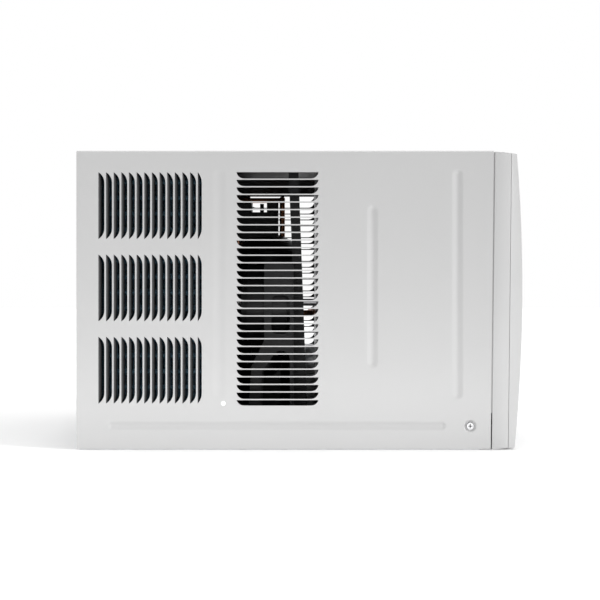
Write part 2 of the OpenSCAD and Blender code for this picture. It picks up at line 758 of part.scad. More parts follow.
module bulkhead() {
    x = inner_w - 3.5;
    channel = [bulkhead_y[1] - eps, bulkhead_y[1] + 15];
    channel_top = axis_z - 69;
    color("lightgray") {
        difference() {
            union() {
                span([-x, x], bulkhead_y, [pan_t, inner_top]);
                difference() {
                    span([x - 60, x], channel, [pan_t, channel_top]);
                    span([x - 58.8, x - 1.2], channel - [eps, 1.2], [pan_t - eps, channel_top - 1.2]);
                }
            }
            rod_y(shaft_r + 9, 0, bulkhead_y + [-eps, eps], axis_z);
            rod_y(capillary_r + 2, capillary_x, [bulkhead_y[0] - eps, channel[1] + eps], capillary_z);
            span([suction_x - suction_r - 1.5, x + eps], bulkhead_y + [-eps, eps],
                 about(suction_z, suction_r + 3));
            span([vent_x - 3.8, vent_x + 53], bulkhead_y + [-eps, eps], about(vent_z, 16));
            span([-drain_slot_half, drain_slot_half], bulkhead_y + [-eps, eps], [pan_t - eps, 12]);
        }
        for (x = [[damper_x[0] - 2.4, damper_x[0] - 0.4], [damper_x[1] + 0.4, damper_x[1] + 2.4]])
            difference() {
                span(x, [damper_y - 2, bulkhead_y[0] + eps], about(vent_hinge_z, 3));
                rod_x(vent_axle_r + pin_fit, x + [-eps, eps], damper_y + damper_t / 2, vent_hinge_z);
            }
    }
}

module vent_damper() {
    y = [damper_y, damper_y + damper_t];
    color("dimgray") difference() {
        union() {
            span(damper_x, y, [vent_hinge_z - damper_h, vent_hinge_z]);
            rod_x(vent_axle_r, damper_x + [-2.2, 2.2], damper_y + damper_t / 2, vent_hinge_z);
        }
        span(about(vent_x, 2.3), y + [-eps, eps], [vent_z - 10.5, vent_z + 4]);
    }
}

module vent_lever() {
    head = damper_y + damper_t + 1.5;
    color("lightgray") {
        rod_y(vent_rod_r, vent_x, [y_front + 14, head + 1], vent_z);
        rod_y(vent_head_r, vent_x, [head, head + 2.5], vent_z);
        span(about(vent_x, 4), [y_front + 1, y_front + 15], about(vent_z, 8));
    }
}

module drain_pan() {
    y = [evaporator_y0 - 24, bulkhead_y[0] - 14];
    x = half_w - 16.5;
    color("dimgray") {
        difference() {
            span([-x, x], y, [pan_t, 13]);
            span([-x + 2, x - 2], y + [2, -2], [pan_t + 2, 14]);
        }
        for (s = [-1, 1]) span(about(s * 120, 2), [evaporator_y0, evaporator_y0 + evaporator_t],
                               [pan_t + 1, evaporator_z[0]]);
    }
}

module blower_wheel() {
    y = [scroll_y0 + scroll_wall + 8, bulkhead_y[0] - scroll_wall - 8];
    blades = 36;
    color("slategray") difference() {
        union() {
            rod_y(blower_r, 0, [y[1] - 2, y[1]], axis_z);
            rod_y(14, 0, [y[1] - 20, y[1]], axis_z);
            difference() {
                rod_y(blower_r, 0, [y[0], y[0] + 3], axis_z);
                rod_y(blower_r - 13, 0, [y[0] - eps, y[0] + 3 + eps], axis_z);
            }
            for (i = [0:blades - 1]) translate([0, 0, axis_z]) rotate([0, i * 360 / blades, 0])
                translate([blower_r - 7, 0, 0]) rotate([0, 25, 0])
                    span([-5.5, 5.5], y + [1, -1], [-0.6, 0.6]);
        }
        rod_y(shaft_r, 0, [y[0], y[1] + eps], axis_z);
    }
}

fan_y = [leg_y0 + 4, leg_y0 + 44];
module condenser_fan() {
    blades = 5;
    color("slategray") difference() {
        union() {
            rod_y(fan_hub_r, 0, fan_y, axis_z);
            difference() {
                rod_y(fan_r, 0, fan_y + [10, -10], axis_z);
                rod_y(fan_r - 3, 0, fan_y + [9, -9], axis_z);
            }
            intersection() {
                rod_y(fan_r - 1, 0, fan_y, axis_z);
                for (i = [0:blades - 1]) translate([0, (fan_y[0] + fan_y[1]) / 2, axis_z])
                    rotate([0, i * 360 / blades, 0]) rotate([28, 0, 0]) prism_y([-1.2, 1.2],
                        [[fan_hub_r - 8, -12], [fan_r * 0.6, -32], [fan_r + 2, -40], [fan_r + 2, 34],
                         [fan_r * 0.6, 26], [fan_hub_r - 8, 12]]);
            }
        }
        rod_y(shaft_r, 0, fan_y + [-eps, eps], axis_z);
    }
}

module motor_shaft() {
    color("silver") rod_y(shaft_r, 0, [bulkhead_y[0] - scroll_wall - 30, fan_y[1] + 6], axis_z);
}

module fan_motor() {
    y = [motor_y, motor_y + motor_len];
    color("dimgray") difference() {
        union() {
            rod_y(motor_r, 0, y + [8, -8], axis_z);
            rod_y(motor_r - 10, 0, y, axis_z);
        }
        rod_y(shaft_r + pin_fit, 0, y + [-eps, eps], axis_z);
    }
}

// A leaning post up to the case top, a web for the motor and two windowed side plates
module motor_bracket() {
    web_y = [motor_y - 2, motor_y];
    post_x = 14;
    plate_x = motor_r + 8;
    plate_h = axis_z + 53;
    color("dimgray") difference() {
        union() {
            prism_x([-post_x, post_x],
                    [[motor_y - 22, pan_t], [web_y[1], pan_t], [web_y[1], plate_h + 14],
                     [motor_y + 5.5, inner_top], [motor_y - 8.5, inner_top]]);
            span([-plate_x, plate_x], web_y, [pan_t, plate_h]);
            for (s = [-1, 1]) {
                prism_x(about(s * plate_x, 1),
                        [[web_y[0], pan_t], [motor_y + 62, pan_t], [motor_y + 55, 92],
                         [motor_y + 38, 127], [motor_y + 38, plate_h], [web_y[0], plate_h]]);
                span(about(s * (plate_x - 8), 9), [web_y[0], motor_y + 62], [pan_t, pan_t + 2]);
            }
        }
        prism_x([-plate_x - 2, plate_x + 2], rounded([motor_y + 3, motor_y + 28], [axis_z - 42, axis_z + 10], 8));
        prism_x([-plate_x - 2, plate_x + 2],
                concat([[motor_y + 44, 20], [motor_y + 3, 20]],
                       arc([motor_y + 15, 101], 12, 180, 45), [[motor_y + 41, 84]]));
        rod_y(shaft_r + 3, 0, [motor_y - 30, motor_y + eps], axis_z);
    }
}

module fan_shroud() {
    x = fin_x - condenser_t - 0.5;
    y = [leg_y0 - shroud_t, leg_y0];
    color("black") difference() {
        union() {
            span([-x, x], y, [pan_t, inner_top]);
            rod_y(shroud_r + shroud_t, 0, [leg_y0 - shroud_t, leg_y0 + 30], axis_z);
        }
        rod_y(shroud_r, 0, [leg_y0 - shroud_t - eps, leg_y0 + 31], axis_z);
    }
}

// ---- Refrigeration --------------------------------------------------------------------

module condenser_fins() {
    r = 40;
    outer = concat([[-fin_x, leg_y0], [-fin_x + condenser_t, leg_y0]],
                   arc([-fin_x + r, coil_back - r], r - condenser_t, 180, 90, 8),
                   arc([fin_x - r, coil_back - r], r - condenser_t, 90, 0, 8),
                   [[fin_x - condenser_t, leg_y0], [fin_x, leg_y0]],
                   arc([fin_x - r, coil_back - r], r, 0, 90, 12),
                   arc([-fin_x + r, coil_back - r], r, 90, 180, 12));
    color("midnightblue") translate([0, 0, coil_z[0]])
        linear_extrude(coil_z[1] - coil_z[0]) polygon(outer);
}

// A return bend that stands out along -Y, its two legs one above the other
module return_bend() {
    rotate([0, 0, -90]) rotate([90, 0, 0]) rotate([0, 0, -90])
        rotate_extrude(angle = 180) translate([bend_pitch / 2, 0]) circle(bend_tube_r);
}

module condenser_tubes() {
    color("peru") both_sides()
        for (column = [0.28, 0.72], i = [0:condenser_bends - 1])
            translate([fin_x - condenser_t * column, leg_y0 - coil_plate_t,
                       bend_z([coil_z[0], coil_z[1] - 24], condenser_bends, i)])
                return_bend();
}

module evaporator_fins() {
    color("silver")
        span([-evaporator_x, evaporator_x], [evaporator_y0, evaporator_y0 + evaporator_t], evaporator_z);
}

module evaporator_tubes() {
    color("peru") both_sides()
        for (column = [0.25, 0.75], i = [0:evaporator_bends - 1])
            translate([-evaporator_x - coil_plate_t, evaporator_y0 + evaporator_t * column,
                       bend_z(evaporator_z, evaporator_bends, i)])
                rotate([0, 0, -90]) return_bend();
}

module coil_end_plates() {
    color("silver") both_sides() {
        span([fin_x - condenser_t, fin_x + 4], [leg_y0 - coil_plate_t, leg_y0], [pan_t, coil_z[1] + 6]);
        span([-evaporator_x - coil_plate_t, -evaporator_x],
             [evaporator_y0 - 4, evaporator_y0 + evaporator_t + 4], [pan_t + 2, evaporator_z[1] + 4]);
    }
}

// Half outline of the compressor's domed top, from the rim to the middle
dome_h = 38;
dome_top = compressor_z + compressor_h;
dome = [for (a = [0:15:90]) [compressor_r * cos(a), dome_top - dome_h * (1 - sin(a))]];

module compressor() {
    r = compressor_r;
    color("black") translate([compressor_x, compressor_y, 0]) difference() {
        union() {
            rotate_extrude()
                polygon(concat([[0, compressor_z], [r - 6, compressor_z], [r, compressor_z + 8]], dome));
            for (a = foot_angles) rotate([0, 0, a])
                span([0, foot_r + 10], [-12, 12], [compressor_z - 4, compressor_z]);
        }
        for (a = foot_angles) rotate([0, 0, a])
            rod_z(foot_stud_r + 0.5, foot_r, 0, [compressor_z - 5, compressor_z + eps]);
    }
}

module compressor_feet() {
    color("dimgray") translate([compressor_x, compressor_y, 0])
        for (a = foot_angles) rotate([0, 0, a]) {
            rod_z(10, foot_r, 0, [pan_t, compressor_z - 4]);
            rod_z(foot_stud_r, foot_r, 0, [compressor_z - 5, compressor_z - 0.5]);
        }
}

// Cover over the terminals and overload switch, with a nut between two raised ends
module terminal_cover() {
    floor_z = dome_top + 31;
    end_z = dome_top + 48;
    color("dimgray") translate([compressor_x, compressor_y, 0]) difference() {
        union() {
            span([-26, 26], [-16, 46], [dome_top - 8, floor_z]);
            span([-26, 26], [-16, 1], [floor_z - eps, end_z]);
            span([-26, 26], [24, 46], [floor_z - eps, end_z]);
            rod_z(3, 0, 9, [floor_z - eps, end_z - 3]);
        }
        rotate_extrude() polygon(concat([[0, compressor_z]], [[compressor_r, compressor_z]], dome));
    }
}

module accumulator() {
    z = accumulator_z;
    r = accumulator_r;
    x = accumulator_x;
    color("black") translate([x, compressor_y, 0]) {
        rotate_extrude()
            polygon([[0, z[0]], [6, z[0]], [r, z[0] + 14], [r, z[1] - 14], [6, z[1]], [0, z[1]]]);
        span([-4, 4], [-20, 20], [pan_t, z[0] + 20]);
        rod_x(4.5, [accumulator_r - 2, compressor_x - x - compressor_r + 1], 0, z[0] + 40);
    }
}

// Suction pipe: over, down, across behind the bulkhead, then forward to the evaporator
module suction_line() {
    b = suction_bend;
    rise = 10;
    over = compressor_y - suction_drop_y - 2 * b;
    down = accumulator_z[1] + rise - suction_z - b;
    out = suction_drop_y - suction_y - 2 * b;
    across = suction_x - accumulator_x - 2 * b;
    forward = suction_y - case_bend_y - 2 * b;
    inwards = suction_x - evaporator_x - coil_plate_t - b;
    color("peru") translate([accumulator_x, compressor_y, accumulator_z[1]])
        straight(suction_r, rise) elbow(suction_r, b, -90)
            straight(suction_r, over) elbow(suction_r, b, 0)
                straight(suction_r, down) elbow(suction_r, b, 180)
                    straight(suction_r, out) elbow(suction_r, b, -90)
                        straight(suction_r, across) elbow(suction_r, b, 180)
                            straight(suction_r, forward) elbow(suction_r, b, 0)
                                straight(suction_r, inwards);
}

// Discharge pipe: up from the compressor's dome, across, then back to the condenser
module discharge_line() {
    b = suction_bend;
    x0 = compressor_x - 5;
    y0 = compressor_y - 22;
    x1 = fin_x - condenser_t / 2;
    z0 = dome_top - 7;
    z1 = coil_z[1] - 18;
    color("peru") translate([x0, y0, z0])
        straight(discharge_r, z1 - z0 - b) elbow(discharge_r, b, 0)
            straight(discharge_r, x1 - x0 - 2 * b) elbow(discharge_r, b, 90)
                straight(discharge_r, leg_y0 - coil_plate_t - y0 - b);
}

module capillary_tube() {
    b = 8;
    y1 = leg_y0 - coil_plate_t;
    rings = 4;
    ring_r = 24;
    color("peru") {
        translate([capillary_x, y1, capillary_z]) rotate([90, 0, 0])
            straight(capillary_r, y1 - case_bend_y - b) elbow(capillary_r, b, 180)
                straight(capillary_r, capillary_x - evaporator_x - coil_plate_t - b);
        for (i = [0:rings - 1])
            translate([capillary_x - ring_r - 0.8, bulkhead_y[0] - 40 - i * 3.4, capillary_z])
                rotate([90, 0, 0]) rotate_extrude() translate([ring_r, 0]) circle(capillary_r);
    }
}

box_x = [fascia_x0 + 4, half_w - 17.5];
box_y = [evaporator_y0 - 36, scroll_y0 + 10];
box_z = [outlet_z0 - 4, inner_top - 8];
module electrical_box() {
    t = 1;
    color("silver") difference() {
        span(box_x, box_y, box_z);
        span(box_x + [t, -t], box_y + [-eps, -t], box_z + [t, -t]);
    }
}

module run_capacitor() {
    x = box_x[1] - 32;
    y = box_y[1] - 32;
    color("silver") {
        rod_z(22, x, y, [box_z[0] + 1, box_z[0] + 70]);
        for (s = [-1, 1]) span(about(x + s * 8, 0.5), about(y, 3), [box_z[0] + 70, box_z[0] + 76]);
    }
}

// ---- Nodes ----------------------------------------------------------------------------

cabinet();
base_pan();
rear_grille();
front_frame();
front_panel();
control_fascia();
display_window();
control_board();
case_screws();
cord_gland();
hole_plugs();
bulkhead();
scroll_housing();
outlet_duct();
evaporator_fins();
evaporator_tubes();
drain_pan();
fan_motor();
motor_bracket();
fan_shroud();
condenser_fins();
condenser_tubes();
coil_end_plates();
compressor();
terminal_cover();
accumulator();
compressor_feet();
suction_line();
discharge_line();
capillary_tube();
electrical_box();
run_capacitor();
motor_shaft();
blower_wheel();
condenser_fan();
louver_link();
vane_link(0);  // left_vane_link
vane_link(1);  // right_vane_link
filter_frame();
filter_mesh();
vent_lever();
vent_damper();
for (i = [1:blade_count]) {
    louver(i);
    vane(0, i);
    vane(1, i);
}
for (b = button_at) button(b[0]);
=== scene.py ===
"""Window air conditioner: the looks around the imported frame.

Metres, +Z up, the room side faces -Y. The camera stands on the outdoor unit's
left-hand side, level with the case. Sizes in MM repeat those of the part's source.
"""
import json
import math

import bmesh
import bpy
from mathutils import Matrix, Vector
from mathutils.geometry import delaunay_2d_cdt


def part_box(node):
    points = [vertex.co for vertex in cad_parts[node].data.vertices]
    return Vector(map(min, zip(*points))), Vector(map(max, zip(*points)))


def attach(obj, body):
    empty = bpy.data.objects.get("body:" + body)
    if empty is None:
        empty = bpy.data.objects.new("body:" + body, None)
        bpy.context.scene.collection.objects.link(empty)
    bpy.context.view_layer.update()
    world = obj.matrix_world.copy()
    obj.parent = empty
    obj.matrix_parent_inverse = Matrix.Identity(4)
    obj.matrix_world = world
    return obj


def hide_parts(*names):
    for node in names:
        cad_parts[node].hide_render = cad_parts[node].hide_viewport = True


MM = 0.001
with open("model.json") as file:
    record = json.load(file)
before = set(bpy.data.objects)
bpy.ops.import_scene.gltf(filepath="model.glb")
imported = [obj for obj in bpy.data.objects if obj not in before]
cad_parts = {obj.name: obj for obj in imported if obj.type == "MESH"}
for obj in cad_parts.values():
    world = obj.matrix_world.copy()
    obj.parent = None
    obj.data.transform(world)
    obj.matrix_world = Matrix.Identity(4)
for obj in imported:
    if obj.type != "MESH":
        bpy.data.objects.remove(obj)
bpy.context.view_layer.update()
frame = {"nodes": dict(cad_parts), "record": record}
scene = bpy.context.scene


# ---- Camera ------------------------------------------------------------------

def add_camera():
    """Looks along +X at the side of the case, from 1.7 m."""
    lens = bpy.data.cameras.new("side_camera")
    lens.lens = 82.4
    lens.sensor_width = 36
    lens.shift_x = 0.0025
    lens.shift_y = -0.0283
    lens.clip_start = 0.05
    lens.clip_end = 60
    camera = bpy.data.objects.new("side_camera", lens)
    scene.collection.objects.link(camera)
    right, up, back = (0, -1, 0), (0, 0, 1), (-1, 0, 0)
    turn = Matrix((right, up, back)).transposed().to_4x4()
    camera.matrix_world = Matrix.Translation((-1.931, 0.0012, 0.205)) @ turn
    scene.camera = camera


add_camera()


# ---- Finishes ----------------------------------------------------------------

class Value:
    """A shader value. Arithmetic on it adds Math nodes."""

    def __init__(self, finish, socket):
        self.finish = finish
        self.socket = socket

    def _maths(self, operation, first, second):
        return self.finish.node("ShaderNodeMath", {"operation": operation},
                                {0: first, 1: second})

    def __add__(self, other):
        return self._maths("ADD", self, other)

    def __sub__(self, other):
        return self._maths("SUBTRACT", self, other)

    def __rsub__(self, other):
        return self._maths("SUBTRACT", other, self)

    def __mul__(self, other):
        return self._maths("MULTIPLY", self, other)

    def __gt__(self, other):
        return self._maths("GREATER_THAN", self, other)

    __radd__ = __add__
    __rmul__ = __mul__

    def clamped(self):
        return self.finish.node("ShaderNodeClamp", {}, {0: self})


class Finish:
    """A procedural material around one Principled shader."""

    def __init__(self, name, **fixed):
        self.material = bpy.data.materials.new(name)
        self.material.use_nodes = True
        self.tree = self.material.node_tree
        self.tree.nodes.clear()
        self.shader = self.tree.nodes.new("ShaderNodeBsdfPrincipled")
        output = self.tree.nodes.new("ShaderNodeOutputMaterial")
        self.tree.links.new(self.shader.outputs[0], output.inputs[0])
        for socket, value in fixed.items():
            self.shader.inputs[socket.replace("_", " ")].default_value = value
        self.place = None

    def node(self, kind, settings=None, inputs=None, output=0):
        made = self.tree.nodes.new(kind)
        for name, value in (settings or {}).items():
            if name == "stops":
                ramp = made.color_ramp
                while len(ramp.elements) < len(value):
                    ramp.elements.new(0.5)
                for element, (at, colour) in zip(ramp.elements, value):
                    element.position = at
                    element.color = (*colour, 1)
            else:
                setattr(made, name, value)
        for name, value in (inputs or {}).items():
            self.feed(made.inputs[name], value)
        return Value(self, made.outputs[output])

    def feed(self, socket, value):
        if isinstance(value, Value):
            self.tree.links.new(value.socket, socket)
        else:
            socket.default_value = value

    def at(self):
        """Object coordinates."""
        if self.place is None:
            self.place = self.node("ShaderNodeTexCoord", output="Object")
        return self.place

    def stretched(self, scale):
        return self.node("ShaderNodeMapping", {}, {"Vector": self.at(), "Scale": scale})

    def noise(self, scale, detail=2.0, roughness=0.5, at=None):
        return self.node("ShaderNodeTexNoise", {},
                         {"Vector": at or self.at(), "Scale": scale, "Detail": detail,
                          "Roughness": roughness}, "Fac")

    def cells(self, scale, output="Distance"):
        return self.node("ShaderNodeTexVoronoi", {"feature": "F1"},
                         {"Vector": self.at(), "Scale": scale}, output)

    def waves(self, scale, direction="X", distortion=0.0):
        return self.node("ShaderNodeTexWave", {"bands_direction": direction},
                         {"Vector": self.at(), "Scale": scale, "Distortion": distortion},
                         "Fac")

    def between(self, low, high, share):
        """Fades from one colour to another."""
        return self.node("ShaderNodeMix", {"data_type": "RGBA"},
                         {0: share, 6: (*low, 1), 7: (*high, 1)}, 2)

    def spread(self, value, low, high, to_low=0.0, to_high=1.0):
        return self.node("ShaderNodeMapRange", {},
                         {0: value, 1: low, 2: high, 3: to_low, 4: to_high})

    def dress(self, colour=None, roughness=None, height=None, depth=0.0001, strength=0.4,
              metallic=None, alpha=None):
        """Feeds the shader's varying sockets."""
        sockets = self.shader.inputs
        for name, value in (("Base Color", colour), ("Roughness", roughness),
                            ("Metallic", metallic), ("Alpha", alpha)):
            if value is not None:
                self.feed(sockets[name], value)
        if height is not None:
            bump = self.node("ShaderNodeBump", {},
                             {"Strength": strength, "Distance": depth, "Height": height})
            self.feed(sockets["Normal"], bump)
        return self


def shade(colour, by):
    return tuple(min(1.0, c * by) for c in colour)


def enamel(name, colour, roughness=0.36):
    """Baked enamel on steel, with a faint orange peel."""
    made = Finish(name, IOR=1.48)
    drift = made.noise(7.0, 3.0)
    peel = made.noise(520.0, 2.0)
    return made.dress(made.between(shade(colour, 0.97), shade(colour, 1.02), drift),
                      made.spread(peel, 0.3, 0.7, roughness - 0.04, roughness + 0.05),
                      peel, 0.00012, 0.22)


def moulding(name, colour, roughness=0.48, grain=1600.0, depth=0.00005):
    """Moulded plastic with a fine spark-eroded grain."""
    made = Finish(name, IOR=1.46)
    drift = made.noise(11.0, 2.0)
    pits = made.cells(grain)
    fine = made.noise(grain * 1.7, 2.0)
    return made.dress(made.between(shade(colour, 0.965), shade(colour, 1.02), drift),
                      made.spread(fine, 0.3, 0.7, roughness - 0.05, roughness + 0.06),
                      pits * 0.6 + fine * 0.4, depth, 0.35)


def zinc(name, colour):
    """Hot-dip zinc with its spangle."""
    made = Finish(name, Metallic=0.9)
    flake = made.node("ShaderNodeTexVoronoi", {}, {"Vector": made.at(), "Scale": 85.0}, "Color")
    grey = made.node("ShaderNodeSeparateColor", {}, {0: flake})
    dull = made.noise(9.0, 4.0)
    return made.dress(made.between(shade(colour, 0.82), shade(colour, 1.1), grey),
                      made.spread(grey * 0.6 + dull * 0.4, 0.2, 0.8, 0.28, 0.52),
                      grey, 0.00003, 0.2)


def drawn_metal(name, colour, roughness, stretch=(90.0, 90.0, 900.0), metallic=1.0):
    """Metal with fine lines left by drawing or turning, and a dull patch here and there."""
    made = Finish(name, Metallic=metallic)
    lines = made.noise(1.0, 3.0, at=made.stretched(stretch))
    dull = made.noise(24.0, 4.0)
    return made.dress(made.between(shade(colour, 0.8), shade(colour, 1.08), dull),
                      made.spread(lines * 0.5 + dull * 0.5, 0.25, 0.75, roughness - 0.08,
                                  roughness + 0.12),
                      lines, 0.00003, 0.25)


def fin_stock(name, colour, edge):
    """Coated fin foil: lighter where a faint ripple along each fin and a noise run high."""
    made = Finish(name, Metallic=0.45)
    ripple = made.waves(95.0, "Z", 1.2)
    dust = made.noise(60.0, 4.0)
    return made.dress(made.between(colour, edge, (ripple * 0.45 + dust * 0.5).clamped()),
                      made.spread(dust, 0.3, 0.7, 0.32, 0.55), ripple, 0.0001, 0.3)


def foam(name, colour):
    """Expanded foam: round beads pressed together."""
    made = Finish(name, IOR=1.35)
    beads = made.cells(420.0)
    return made.dress(made.between(shade(colour, 1.02), shade(colour, 0.86), beads),
                      made.spread(beads, 0.0, 0.8, 0.62, 0.8), 1 - beads, 0.0002, 0.5)


def board(name, colour):
    """Lacquered circuit board with the tracks showing through."""
    made = Finish(name, IOR=1.5)
    across = made.waves(260.0, "X")
    up = made.waves(190.0, "Z")
    tracks = (across > 0.82) + (up > 0.86)
    return made.dress(made.between(colour, shade(colour, 2.4), tracks.clamped()),
                      made.spread(made.noise(200.0), 0.3, 0.7, 0.25, 0.4),
                      tracks.clamped(), 0.00004, 0.5)


def glossy(name, colour, roughness=0.1):
    made = Finish(name, IOR=1.5, Coat_Roughness=0.05)
    haze = made.noise(30.0, 3.0)
    return made.dress(made.between(shade(colour, 0.85), shade(colour, 1.25), haze),
                      made.spread(haze, 0.3, 0.7, roughness - 0.03, roughness + 0.05))


def fibre(name, colour):
    made = Finish(name, IOR=1.4)
    twist = made.waves(2400.0, "DIAGONAL", 1.0)
    return made.dress(made.between(shade(colour, 0.8), shade(colour, 1.25), twist),
                      made.spread(twist, 0.0, 1.0, 0.6, 0.75), twist, 0.00005, 0.4)


CASE_GREY = (0.5, 0.5, 0.5)
PANEL_GREY = (0.51, 0.51, 0.51)
FINISHES = {
    "painted_steel": enamel("painted_steel", CASE_GREY),
    # Near-black painted shade: it stands for the shade inside the case and on the pressed-in
    # louvre blades, which are really painted grey like the outside.
    "painted_shade": enamel("painted_shade", (0.044, 0.044, 0.046), 0.55),
    "bezel_plastic": moulding("bezel_plastic", PANEL_GREY),
    "panel_plastic": moulding("panel_plastic", PANEL_GREY, 0.44),
    "blade_plastic": moulding("blade_plastic", shade(PANEL_GREY, 0.97), 0.4, 2600.0),
    "fascia_plastic": moulding("fascia_plastic", (0.47, 0.475, 0.485), 0.3, 3200.0, 0.00002),
    "button_plastic": moulding("button_plastic", (0.62, 0.625, 0.635), 0.38, 2800.0, 0.00003),
    "display_plastic": glossy("display_plastic", (0.006, 0.006, 0.008), 0.08),
    "circuit_board": board("circuit_board", (0.012, 0.07, 0.03)),
    "screw_steel": drawn_metal("screw_steel", (0.6, 0.6, 0.61), 0.34, (400.0, 400.0, 400.0)),
    "galvanised_steel": zinc("galvanised_steel", (0.55, 0.56, 0.575)),
    "white_nylon": moulding("white_nylon", (0.93, 0.93, 0.92), 0.35, 2400.0, 0.00002),
    "black_plastic": moulding("black_plastic", (0.018, 0.018, 0.019), 0.5),
    "foam_white": foam("foam_white", (0.76, 0.76, 0.74)),
    "condenser_fin": fin_stock("condenser_fin", (0.026, 0.065, 0.095), (0.07, 0.16, 0.22)),
    "evaporator_fin": fin_stock("evaporator_fin", (0.5, 0.52, 0.54), (0.7, 0.72, 0.74)),
    "copper": drawn_metal("copper", (0.4, 0.17, 0.09), 0.42),
    "black_paint": enamel("black_paint", (0.014, 0.014, 0.015), 0.4),
    "grey_paint": enamel("grey_paint", (0.045, 0.045, 0.047), 0.5),
    "rubber": moulding("rubber", (0.022, 0.022, 0.022), 0.72, 900.0, 0.0001),
    "fan_plastic": moulding("fan_plastic", (0.03, 0.032, 0.036), 0.46, 1500.0),
    "shaft_steel": drawn_metal("shaft_steel", (0.56, 0.56, 0.57), 0.3, (1200.0, 60.0, 1200.0)),
    "capacitor_can": drawn_metal("capacitor_can", (0.68, 0.69, 0.71), 0.28,
                                 (60.0, 60.0, 1400.0)),
    "filter_net": fibre("filter_net", (0.16, 0.18, 0.2)),
}

slot_of = {part["node"]: part["material_slot"] for part in frame["record"]["subparts"]}
for node, obj in frame["nodes"].items():
    obj.data.materials.clear()
    obj.data.materials.append(FINISHES[slot_of[node]].material)


# ---- Mesh helpers ------------------------------------------------------------

def add_mesh(name, points, faces, slot, sharp=None):
    """A mesh object in millimetre points. Given an angle, edges below it shade smoothly."""
    mesh = bpy.data.meshes.new(name)
    mesh.from_pydata([tuple(c * MM for c in p) for p in points], [], faces)
    mesh.materials.append(FINISHES[slot].material)
    if sharp is not None:
        mesh.shade_smooth()
        mesh.set_sharp_from_angle(angle=math.radians(sharp))
    obj = bpy.data.objects.new(name, mesh)
    scene.collection.objects.link(obj)
    return obj


def seat(obj, body, slot, *nodes):
    """Says what the piece moves with and hides the CAD nodes it stands for. The slot is not
    used.
    """
    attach(obj, body)
    if nodes:
        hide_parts(*nodes)
    return obj


def baked(obj):
    """Applies the object's modifiers to its mesh."""
    graph = bpy.context.evaluated_depsgraph_get()
    mesh = bpy.data.meshes.new_from_object(obj.evaluated_get(graph), depsgraph=graph)
    obj.modifiers.clear()
    obj.data = mesh
    return obj


def grown(obj, tree, **values):
    """Runs a Geometry Nodes tree on the object's mesh and keeps the result."""
    modifier = obj.modifiers.new(tree.name, "NODES")
    modifier.node_group = tree
    for item in tree.interface.items_tree:
        key = item.name.lower().replace(" ", "_")
        if item.in_out == "INPUT" and key in values:
            modifier[item.identifier] = values[key]
    obj.update_tag()
    return baked(obj)


def new_tree(name, **sockets):
    """A Geometry Nodes tree with a geometry going in and out, and named inputs."""
    tree = bpy.data.node_groups.new(name, "GeometryNodeTree")
    tree.interface.new_socket("Geometry", in_out="INPUT", socket_type="NodeSocketGeometry")
    for socket, kind in sockets.items():
        tree.interface.new_socket(socket.replace("_", " ").title(), in_out="INPUT",
                                  socket_type="NodeSocket" + kind)
    tree.interface.new_socket("Geometry", in_out="OUTPUT", socket_type="NodeSocketGeometry")
    return tree


def tree_nodes(tree):
    """Functions that add a node, and that end the tree in Realize and Set Material."""
    entry = tree.nodes.new("NodeGroupInput")
    leave = tree.nodes.new("NodeGroupOutput")

    def add(kind, settings=None, **inputs):
        made = tree.nodes.new(kind)
        for name, value in (settings or {}).items():
            setattr(made, name, value)
        for name, value in inputs.items():
            socket = made.inputs[name.replace("_", " ").title()]
            if isinstance(value, bpy.types.NodeSocket):
                tree.links.new(value, socket)
            else:
                socket.default_value = value
        return made

    def end(geometry):
        whole = add("GeometryNodeRealizeInstances", geometry=geometry)
        painted = add("GeometryNodeSetMaterial", geometry=whole.outputs[0],
                      material=entry.outputs["Finish"])
        tree.links.new(painted.outputs[0], leave.inputs[0])

    return entry.outputs, add, end


def rows_tree():
    """Repeats the mesh in columns and rows."""
    tree = new_tree("rows", columns="Int", column_step="Vector", rows="Int",
                    row_step="Vector", finish="Material")
    given, add, end = tree_nodes(tree)
    across = add("GeometryNodeMeshLine", count=given["Columns"], offset=given["Column Step"])
    up = add("GeometryNodeMeshLine", count=given["Rows"], offset=given["Row Step"])
    grid = add("GeometryNodeInstanceOnPoints", points=up.outputs[0], instance=across.outputs[0])
    points = add("GeometryNodeRealizeInstances", geometry=grid.outputs[0])
    placed = add("GeometryNodeInstanceOnPoints", points=points.outputs[0],
                 instance=given["Geometry"])
    end(placed.outputs[0])
    return tree


def fins_tree():
    """Stands thin fins along a path, each square to it."""
    tree = new_tree("fins", pitch="Float", fin_size="Vector", finish="Material")
    given, add, end = tree_nodes(tree)
    path = add("GeometryNodeMeshToCurve", mesh=given["Geometry"])
    points = add("GeometryNodeCurveToPoints", {"mode": "LENGTH"}, curve=path.outputs[0],
                 length=given["Pitch"])
    facing = add("FunctionNodeAlignRotationToVector", {"axis": "X", "pivot_axis": "Z"},
                 vector=points.outputs["Tangent"])
    fin = add("GeometryNodeMeshCube", size=given["Fin Size"])
    placed = add("GeometryNodeInstanceOnPoints", points=points.outputs[0],
                 instance=fin.outputs[0], rotation=facing.outputs[0])
    end(placed.outputs[0])
    return tree


def pipes_tree():
    """Runs a pipe along a path, and repeats it upwards."""
    tree = new_tree("pipes", radius="Float", rows="Int", row_step="Vector",
                    finish="Material")
    given, add, end = tree_nodes(tree)
    path = add("GeometryNodeMeshToCurve", mesh=given["Geometry"])
    ring = add("GeometryNodeCurvePrimitiveCircle", resolution=8, radius=given["Radius"])
    pipe = tree.nodes.new("GeometryNodeCurveToMesh")
    tree.links.new(path.outputs[0], pipe.inputs["Curve"])
    tree.links.new(ring.outputs[0], pipe.inputs["Profile Curve"])
    pipe.inputs["Fill Caps"].default_value = True
    up = add("GeometryNodeMeshLine", count=given["Rows"], offset=given["Row Step"])
    placed = add("GeometryNodeInstanceOnPoints", points=up.outputs[0],
                 instance=pipe.outputs[0])
    end(placed.outputs[0])
    return tree


ROWS, FINS, PIPES = rows_tree(), fins_tree(), pipes_tree()


